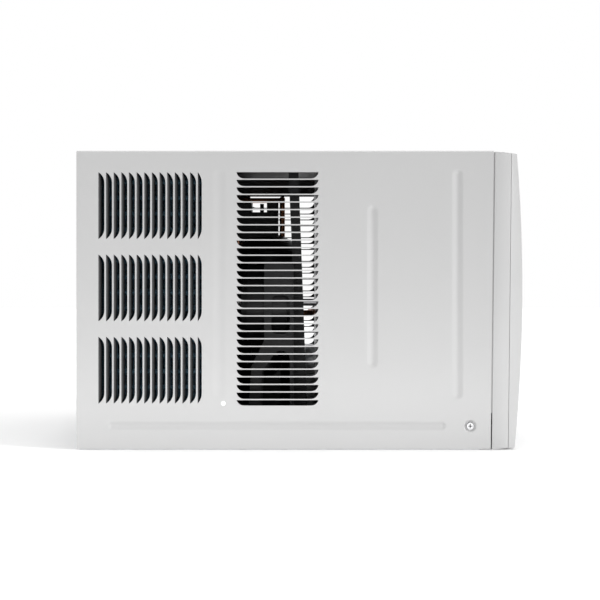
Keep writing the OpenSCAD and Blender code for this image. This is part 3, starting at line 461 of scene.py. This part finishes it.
def add_path(name, points):
    """An open line of edges for a tree to follow."""
    mesh = bpy.data.meshes.new(name)
    mesh.from_pydata([tuple(c * MM for c in p) for p in points],
                     [(i, i + 1) for i in range(len(points) - 1)], [])
    obj = bpy.data.objects.new(name, mesh)
    scene.collection.objects.link(obj)
    return obj


def arc(centre, radius, start, stop, steps):
    """Points round an arc, in degrees, both ends included."""
    return [(centre[0] + radius * math.cos(math.radians(start + (stop - start) * i / steps)),
             centre[1] + radius * math.sin(math.radians(start + (stop - start) * i / steps)))
            for i in range(steps + 1)]


def millimetres(node):
    """A CAD node's lowest and highest corner, in millimetres."""
    return [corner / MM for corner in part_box(node)]


# ---- Cabinet -----------------------------------------------------------------

CASE_LOW, CASE_HIGH = millimetres("cabinet")
HALF_W = CASE_HIGH.x
TOP = CASE_HIGH.z
Y_REAR = CASE_HIGH.y
Y_FRONT = millimetres("front_panel")[0].y
FRONT_LEAN = 4.1          # the front edge leans back by this from top to bottom
SHEET = 1.0               # thickness of the cabinet steel
FOLD_R = 3.0              # outside radius of the folded top corners
FOLD_STEPS = 5
FOOT = CASE_LOW.z
WALL = TOP - FOLD_R - FOOT                     # flat height of a side
FOLD = math.pi * FOLD_R / 2
GIRTH = 2 * (WALL + FOLD) + 2 * (HALF_W - FOLD_R)

LOUVRE_LOW, LOUVRE_HIGH = 56.6, TOP - 26.6
REAR_BANKS, REAR_SLOTS, BANK_GAP = 3, 14, 18.9
REAR_EDGE = Y_REAR - 27.1
REAR_PITCH, REAR_OPEN, REAR_LAST, REAR_RUN = 9.4, 7.4, 5.0, 13.0
BANK_H = (LOUVRE_HIGH - LOUVRE_LOW - (REAR_BANKS - 1) * BANK_GAP) / REAR_BANKS
MID_Y, MID_W, MID_PITCH, MID_OPEN, MID_RUN = Y_FRONT + 251, 101.0, 9.35, 7.9, 9.2
MID_HEIGHT = LOUVRE_HIGH - LOUVRE_LOW + 2.4
MID_FULL = int(MID_HEIGHT // MID_PITCH)
LOW_BEAD_Z = 28.9
SCREW_Y = Y_FRONT + 64.4
PLUG_Y, PLUG_Z, PLUG_R = Y_REAR - 180.8, 56.9, 3.1
BEAD_LOW, BEAD_HIGH = 61.0, TOP - 21.5
# ends in (Y, Z), half width and depth of each pressed bead
BEADS = [((Y_REAR - 175.5, BEAD_LOW + 9), (Y_REAR - 175.5, BEAD_HIGH - 9), 9.5, 0.55),
         ((Y_FRONT + 184.7, BEAD_LOW + 46), (Y_FRONT + 184.7, BEAD_HIGH - 52), 8.0, 2.0),
         ((Y_FRONT + 80, BEAD_LOW + 8), (Y_FRONT + 80, BEAD_HIGH - 8), 8.0, 2.0),
         ((Y_FRONT + 99, LOW_BEAD_Z), (Y_REAR - 43.5, LOW_BEAD_Z), 6.0, 1.7)]


def front_edge(z):
    return CASE_LOW.y + FRONT_LEAN * (1 - z / TOP)


def wrap(y, run, depth):
    """A point of the folded sheet. Run goes round the section, from the left foot
    over the top to the right foot, and depth goes in from the outside."""
    if run > GIRTH / 2:
        x, y, z = wrap(y, GIRTH - run, depth)
        return -x, y, z
    if run <= WALL:
        return depth - HALF_W, y, FOOT + run
    if run <= WALL + FOLD:
        turn = (run - WALL) / FOLD_R
        return (FOLD_R - HALF_W - (FOLD_R - depth) * math.cos(turn), y,
                TOP - FOLD_R + (FOLD_R - depth) * math.sin(turn))
    return FOLD_R - HALF_W + run - WALL - FOLD, y, TOP - depth


def lance(length, opened, run, steps=5):
    """Half outline of a louvre: straight along 0, curved ends, the far edge at opened."""
    radius = (run * run + opened * opened) / (2 * opened)
    sweep = math.asin(run / radius)
    rise = [(run - radius * math.sin(sweep * (1 - i / steps)),
             opened - radius + radius * math.cos(sweep * (1 - i / steps)))
            for i in range(steps + 1)]
    return rise + [(length - a, b) for a, b in reversed(rise)]


def slot_outlines():
    """Outlines of every louvre of one side, in (Y, Z)."""
    loops = []
    for bank in range(REAR_BANKS):
        foot = LOUVRE_LOW + bank * (BANK_H + BANK_GAP)
        for i in range(REAR_SLOTS):
            opened = REAR_LAST if i == REAR_SLOTS - 1 else REAR_OPEN
            loops.append([(REAR_EDGE - i * REAR_PITCH - b, foot + a)
                          for a, b in lance(BANK_H, opened, REAR_RUN)])
    for i in range(MID_FULL + 1):
        opened = MID_HEIGHT - MID_FULL * MID_PITCH if i == MID_FULL else MID_OPEN
        loops.append([(MID_Y + a, LOUVRE_HIGH - i * MID_PITCH - b)
                      for a, b in lance(MID_W, opened, MID_RUN)])
    return loops


def stadium(low, high, radius, steps=10):
    """A round-ended outline about the line from low to high."""
    along = math.degrees(math.atan2(high[1] - low[1], high[0] - low[0]))
    return arc(high, radius, along - 90, along + 90, steps) + \
        arc(low, radius, along + 90, along + 270, steps)


def bead_rings(low, high, half, depth):
    """Nested outlines of a pressed bead with their depths, outermost first."""
    shares = (1.1, 1.0, 0.86, 0.72, 0.58, 0.44, 0.3, 0.16, 0.06)
    return [(stadium(low, high, half * s),
             0.0 if s >= 1 else depth * (0.5 + 0.5 * math.cos(math.pi * s)))
            for s in shares]


def dimple_rings(centre, bottom, brim, depth):
    """Nested circles of the recess round a case screw."""
    rings = [(brim + 0.8, 0.0), (brim, 0.0)]
    for i in range(1, 7):
        share = i / 6
        rings.append((brim + (bottom - brim) * share,
                      depth * (0.5 - 0.5 * math.cos(math.pi * share))))
    rings.append((2.3, depth))
    return [(arc(centre, r, 0, 360 - 15, 23), d) for r, d in rings]


def recess_rings(y, run):
    """Nested outlines of a shallow rectangular recess in the top."""
    rings = []
    for inset, depth in ((-1.0, 0.0), (0.0, 0.0), (0.8, 0.12), (1.6, 0.5), (2.4, 0.88),
                         (3.2, 1.0)):
        r = 8.0 - inset * 0.5
        low_y, high_y = y[0] + inset, y[1] - inset
        low_run, high_run = run[0] + inset, run[1] - inset
        rings.append((arc((high_y - r, low_run + r), r, -90, 0, 5)
                      + arc((high_y - r, high_run - r), r, 0, 90, 5)
                      + arc((low_y + r, high_run - r), r, 90, 180, 5)
                      + arc((low_y + r, low_run + r), r, 180, 270, 5), depth))
    return rings


def inside(point, loop):
    hit = False
    for (y0, r0), (y1, r1) in zip(loop, loop[1:] + loop[:1]):
        if (r0 > point[1]) != (r1 > point[1]):
            if point[0] < (y1 - y0) * (point[1] - r0) / (r1 - r0) + y0:
                hit = not hit
    return hit


def add_cabinet():
    """One folded sheet: two louvred sides and the top."""
    def on_side(loop, right):
        """Takes an outline from (Y, Z) of a side to (Y, run)."""
        return [(y, GIRTH - (z - FOOT) if right else z - FOOT) for y, z in loop]

    holes, nests = [], []
    for right in (False, True):
        holes += [on_side(loop, right) for loop in slot_outlines()]
        holes.append(on_side(arc((PLUG_Y, PLUG_Z), PLUG_R, 0, 337.5, 15), right))
        rings = [bead_rings(*bead) for bead in BEADS]
        rings.append(dimple_rings((SCREW_Y, LOW_BEAD_Z), 5.3, 8.2, 2.6))
        nests += [([(on_side(loop, right), depth) for loop, depth in nest],
                   nest is not rings[-1]) for nest in rings]
    for side in (-1, 1):
        middle = GIRTH / 2 + side * 110
        nests.append((recess_rings((Y_REAR - 160, Y_REAR - 100), (middle - 70, middle + 70)),
                      True))
    cuts = holes + [nest[0][0] for nest, _ in nests]

    folds = [0.0] + [WALL + FOLD * i / FOLD_STEPS for i in range(FOLD_STEPS + 1)]
    folds += [GIRTH - run for run in reversed(folds)]
    points, edges = [], []
    for run in folds:
        z = wrap(0, run, 0)[2]
        points += [Vector((front_edge(z), run)), Vector((Y_REAR, run))]
        edges.append((len(points) - 2, len(points) - 1))
    for i in range(len(folds) - 1):
        edges += [(2 * i, 2 * i + 2), (2 * i + 1, 2 * i + 3)]
    for loop in cuts:
        base = len(points)
        points += [Vector(p) for p in loop]
        edges += [(base + i, base + (i + 1) % len(loop)) for i in range(len(loop))]
    flat, _, triangles = delaunay_2d_cdt(points, edges, [], 0, 1e-6)[:3]

    boxes = [(min(p[0] for p in c), max(p[0] for p in c), min(p[1] for p in c),
              max(p[1] for p in c)) for c in cuts]
    index, layout, faces = {}, [], []

    def vertex(y, run, depth):
        key = (round(y, 4), round(run, 4), round(depth, 4))
        if key not in index:
            index[key] = len(layout)
            layout.append((y, run, depth))
        return index[key]

    for triangle in triangles:
        corners = [flat[i] for i in triangle]
        middle = (sum(c.x for c in corners) / 3, sum(c.y for c in corners) / 3)
        if any(b[0] < middle[0] < b[1] and b[2] < middle[1] < b[3] and inside(middle, c)
               for b, c in zip(boxes, cuts)):
            continue
        faces.append([vertex(c.x, c.y, 0.0) for c in reversed(corners)])
    for nest, closed in nests:
        rings = [[vertex(y, run, depth) for y, run in loop] for loop, depth in nest]
        turn = sum(a[0] * b[1] - b[0] * a[1]
                   for a, b in zip(nest[0][0], nest[0][0][1:] + nest[0][0][:1])) > 0
        for outer, inner in zip(rings, rings[1:]):
            for i in range(len(outer)):
                j = (i + 1) % len(outer)
                quad = [outer[i], inner[i], inner[j], outer[j]]
                faces.append(quad if turn else quad[::-1])
        if closed:
            faces.append(rings[-1][::-1] if turn else rings[-1])

    count = len(layout)
    skin = [wrap(*p) for p in layout]
    back = [wrap(y, run, depth + SHEET) for y, run, depth in layout]
    used = {}
    for face in faces:
        for a, b in zip(face, face[1:] + face[:1]):
            used[(a, b)] = used.get((a, b), 0) + 1
    walls = [[b, a, a + count, b + count] for a, b in used if (b, a) not in used]
    outside = len(faces)
    faces += [[i + count for i in reversed(face)] for face in faces]
    inner_faces = range(outside, len(faces))
    case = add_mesh("case_skin", skin + back, faces + walls, "painted_steel", 32)
    # The inner faces get the near-black finish: painted shade for the dark inside of the case.
    case.data.materials.append(FINISHES["painted_shade"].material)
    for i in inner_faces:
        case.data.polygons[i].material_index = 1
    return seat(case, "case", "painted_steel", "cabinet")


def tongue(opened, side):
    """The pressed-in blade of one upright louvre, for the lowest, rearmost slot."""
    steps, thick = 5, 0.9
    start, stop = math.radians(38), math.radians(84)    # lean at the root and the tip
    clear_x, clear_y = 0.25, 0.1                        # keeps the root inside the sheet
    outline = lance(BANK_H, opened, REAR_RUN)
    outline = [(a, max(b, 0.4)) for a, b in outline]
    middle = [(outline[5][0] + (outline[6][0] - outline[5][0]) * i / 5, opened)
              for i in range(1, 5)]
    outline = outline[:6] + middle + outline[6:]
    points = []
    for layer in (0, thick):
        for a, width in outline:
            for i in range(steps + 1):
                share = i / steps
                lean = start + (stop - start) * share
                if share:
                    reach = width * share / (lean - start)
                    y = -reach * (math.sin(lean) - math.sin(start))
                    x = reach * (math.cos(start) - math.cos(lean))
                else:
                    x = y = 0.0
                x += clear_x + layer * math.cos(lean)
                y += clear_y + layer * math.sin(lean)
                points.append((side * (HALF_W - x), REAR_EDGE + y, LOUVRE_LOW + a))
    across, rows = steps + 1, len(outline)
    half = across * rows
    faces = []
    for r in range(rows - 1):
        for c in range(steps):
            quad = [r * across + c, r * across + c + 1, (r + 1) * across + c + 1,
                    (r + 1) * across + c]
            faces += [quad, [i + half for i in reversed(quad)]]
    rim = [r * across for r in range(rows)]
    rim += [(rows - 1) * across + c for c in range(1, across)]
    rim += [r * across + steps for r in range(rows - 2, -1, -1)]
    rim += [c for c in range(steps - 1, 0, -1)]
    for a, b in zip(rim, rim[1:] + rim[:1]):
        faces.append([a, b, b + half, a + half])
    if side > 0:
        faces = [face[::-1] for face in faces]
    return points, faces


def add_tongues():
    """All the pressed-in blades: full ones, and the narrower foremost column."""
    for side, name in ((-1, "left"), (1, "right")):
        for opened, count, kind in ((REAR_OPEN, REAR_SLOTS - 1, "full"),
                                    (REAR_LAST, 1, "narrow")):
            points, faces = tongue(opened, side)
            if kind == "narrow":
                points = [(x, y - (REAR_SLOTS - 1) * REAR_PITCH, z) for x, y, z in points]
            # The blades get the near-black finish: painted shade, since they lie in shade
            # behind the slots.
            blades = add_mesh(f"louvre_blades_{name}_{kind}", points, faces, "painted_shade", 40)
            grown(blades, ROWS, columns=count, column_step=(0, -REAR_PITCH * MM, 0),
                  rows=REAR_BANKS, row_step=(0, 0, (BANK_H + BANK_GAP) * MM),
                  finish=FINISHES["painted_shade"].material)
            seat(blades, "case", "painted_steel")


add_cabinet()
add_tongues()


# ---- Coils -------------------------------------------------------------------

def add_condenser():
    """Fins and tubes along the U of the condenser."""
    low, high = millimetres("condenser_fins")
    thick, bend = 24.0, 40.0
    half = high.x - thick / 2
    back = high.y - thick / 2
    r = bend - thick / 2
    line = [(-half, low.y)] + arc((r - half, back - r), r, 180, 90, 10) \
        + arc((half - r, back - r), r, 90, 0, 10) + [(half, low.y)]
    middle = (low.z + high.z) / 2
    fins = add_path("condenser_core", [(x, y, middle) for x, y in line])
    grown(fins, FINS, pitch=1.9 * MM, fin_size=(0.22 * MM, (thick - 0.4) * MM,
                                                  (high.z - low.z) * MM),
          finish=FINISHES["condenser_fin"].material)
    seat(fins, "case", "condenser_fin", "condenser_fins")
    for name, inset, lift in (("outer", 6.7, 0.0), ("inner", 17.3, 9.8)):
        shift = inset - thick / 2
        tight = r - shift
        line = [(-half + shift, low.y)] + arc((r - half, back - r), tight, 180, 90, 10) \
            + arc((half - r, back - r), tight, 90, 0, 10) + [(half - shift, low.y)]
        tubes = add_path(f"condenser_rows_{name}", [(x, y, low.z + 9 + lift)
                                                    for x, y in line])
        grown(tubes, PIPES, radius=4.0 * MM, rows=17, row_step=(0, 0, 19.6 * MM),
              finish=FINISHES["condenser_fin"].material)
        seat(tubes, "case", "condenser_fin")


def add_evaporator():
    """Fins and tubes of the straight evaporator."""
    low, high = millimetres("evaporator_fins")
    middle_y, middle_z = (low.y + high.y) / 2, (low.z + high.z) / 2
    fins = add_path("evaporator_core", [(low.x + 0.3, middle_y, middle_z),
                                        (high.x - 0.3, middle_y, middle_z)])
    grown(fins, FINS, pitch=2.0 * MM, fin_size=(0.2 * MM, (high.y - low.y) * MM,
                                                  (high.z - low.z) * MM),
          finish=FINISHES["evaporator_fin"].material)
    seat(fins, "case", "evaporator_fin", "evaporator_fins")
    for name, share, lift in (("front", 0.25, 0.0), ("back", 0.75, 9.8)):
        y = low.y + (high.y - low.y) * share
        tubes = add_path(f"evaporator_rows_{name}", [(low.x, y, low.z + 12 + lift),
                                                     (high.x, y, low.z + 12 + lift)])
        grown(tubes, PIPES, radius=4.0 * MM, rows=12, row_step=(0, 0, 19.6 * MM),
              finish=FINISHES["copper"].material)
        seat(tubes, "case", "copper")


add_condenser()
add_evaporator()


# ---- Filter net --------------------------------------------------------------

def add_net():
    """The filter's net: crossed threads, each a thin eight-sided bar."""
    low, high = millimetres("filter_mesh")
    pitch, half = 2.6, 0.28
    for name, along, y in (("upright", "Z", -0.22), ("level", "X", 0.22)):
        middle = (low.y + high.y) / 2 + y
        if along == "Z":
            a, b = (low.x + half, middle, low.z), (low.x + half, middle, high.z)
            count, step = int((high.x - low.x - 2 * half) / pitch), (pitch * MM, 0, 0)
        else:
            a, b = (low.x, middle, low.z + half), (high.x, middle, low.z + half)
            count, step = int((high.z - low.z - 2 * half) / pitch), (0, 0, pitch * MM)
        threads = add_path(f"net_{name}", [a, b])
        grown(threads, PIPES, radius=half * MM, rows=count + 1, row_step=step,
              finish=FINISHES["filter_net"].material)
        seat(threads, "filter", "filter_net", "filter_mesh")


add_net()


# ---- Rounded mouldings -------------------------------------------------------

def soften(node, body, width, angle=35):
    """A copy of a CAD node with its left and right outlines rounded, standing for it."""
    cad = bmesh.new()
    cad.from_mesh(frame["nodes"][node].data)
    bmesh.ops.remove_doubles(cad, verts=cad.verts, dist=0.002 * MM)
    bmesh.ops.dissolve_limit(cad, angle_limit=math.radians(0.05), verts=cad.verts,
                             edges=cad.edges)
    reach = max(v.co.x for v in cad.verts) - 0.01 * MM
    sharp = [e for e in cad.edges if min(abs(v.co.x) for v in e.verts) > reach
             and e.calc_face_angle(0) > math.radians(angle)]
    bmesh.ops.bevel(cad, geom=sharp, offset=width * MM, segments=2, profile=0.5,
                    affect="EDGES", clamp_overlap=False)
    mesh = bpy.data.meshes.new(node + "_round")
    cad.to_mesh(mesh)
    cad.free()
    mesh.materials.clear()
    mesh.materials.append(FINISHES[slot_of[node]].material)
    mesh.shade_smooth()
    mesh.set_sharp_from_angle(angle=math.radians(angle))
    obj = bpy.data.objects.new(node + "_round", mesh)
    scene.collection.objects.link(obj)
    return seat(obj, body, slot_of[node], node)


soften("front_panel", "case", 0.5)
soften("front_frame", "case", 0.45)


def add_screw_cross_shade():
    """A dark four-pointed star, just proud of the head, for each side screw's cross: painted
    shade standing for the recess.
    """
    low = millimetres("case_screws")[0]
    proud, sunk = 0.04, 0.4
    arm, waist, tilt = 2.9, 0.85, 8
    points, faces = [], []
    for side in (-1, 1):
        base = len(points)
        for x in (low.x - proud, low.x + sunk):
            for i in range(8):
                turn = math.radians(45 * i + tilt)
                reach = waist if i % 2 else arm
                points.append((-side * x, SCREW_Y + reach * math.cos(turn),
                               LOW_BEAD_Z + reach * math.sin(turn)))
        ring = [[base + i, base + (i + 1) % 8, base + 8 + (i + 1) % 8, base + 8 + i]
                for i in range(8)]
        ring += [list(range(base + 7, base - 1, -1)), list(range(base + 8, base + 16))]
        faces += ring if side > 0 else [face[::-1] for face in ring]
    # The star is black: painted shade in place of the shaded cross recess.
    seat(add_mesh("screw_recesses", points, faces, "black_paint"), "case", "black_paint")


add_screw_cross_shade()


# ---- Stage -------------------------------------------------------------------

def add_stage():
    """A pale floor, a surround that is dimmer towards -X, and soft lights."""
    floor_mesh = bpy.data.meshes.new("floor")
    reach = 9.0
    floor_mesh.from_pydata([(-reach, -reach, 0), (reach, -reach, 0), (reach, reach, 0),
                            (-reach, reach, 0)], [], [(0, 1, 2, 3)])
    pale = Finish("pale_floor", Specular_IOR_Level=0.1)
    pale.dress(pale.between((0.9, 0.9, 0.9), (0.93, 0.93, 0.93), pale.noise(2.0)),
               pale.spread(pale.noise(3.0), 0.3, 0.7, 0.8, 0.9))
    floor_mesh.materials.append(pale.material)
    floor = bpy.data.objects.new("floor", floor_mesh)
    scene.collection.objects.link(floor)

    world = bpy.data.worlds.new("surround")
    world.use_nodes = True
    tree = world.node_tree
    facing = tree.nodes.new("ShaderNodeSeparateXYZ")
    tree.links.new(tree.nodes.new("ShaderNodeTexCoord").outputs["Generated"],
                   facing.inputs[0])
    fade = tree.nodes.new("ShaderNodeMapRange")
    for socket, value in (("From Min", -0.6), ("From Max", 0.3), ("To Min", 0.6),
                          ("To Max", 1.0)):
        fade.inputs[socket].default_value = value
    tree.links.new(facing.outputs["X"], fade.inputs[0])
    tree.links.new(fade.outputs[0], tree.nodes["Background"].inputs["Color"])
    scene.world = world

    def lamp(name, kind, at, aim, power, **settings):
        light = bpy.data.lights.new(name, kind)
        light.energy = power
        for setting, value in settings.items():
            setattr(light, setting, value)
        obj = bpy.data.objects.new(name, light)
        scene.collection.objects.link(obj)
        obj.location = at
        obj.rotation_euler = (Vector(aim) - Vector(at)).to_track_quat("-Z", "Y").to_euler()

    lamp("overhead", "SUN", (0, 0, 3), (0, 0, 0), 1.0, angle=math.radians(24))
    lamp("key", "SUN", (-1.35, -3.0, 1.05), (0, 0, 0), 1.6, angle=math.radians(9))
    lamp("low", "AREA", (-0.5, 0.1, 0.04), (-0.24, 0.1, 0.03), 0.45, shape="RECTANGLE",
         size=0.9, size_y=0.02)
    scene.view_settings.view_transform = "Standard"


add_stage()

bpy.context.view_layer.update()
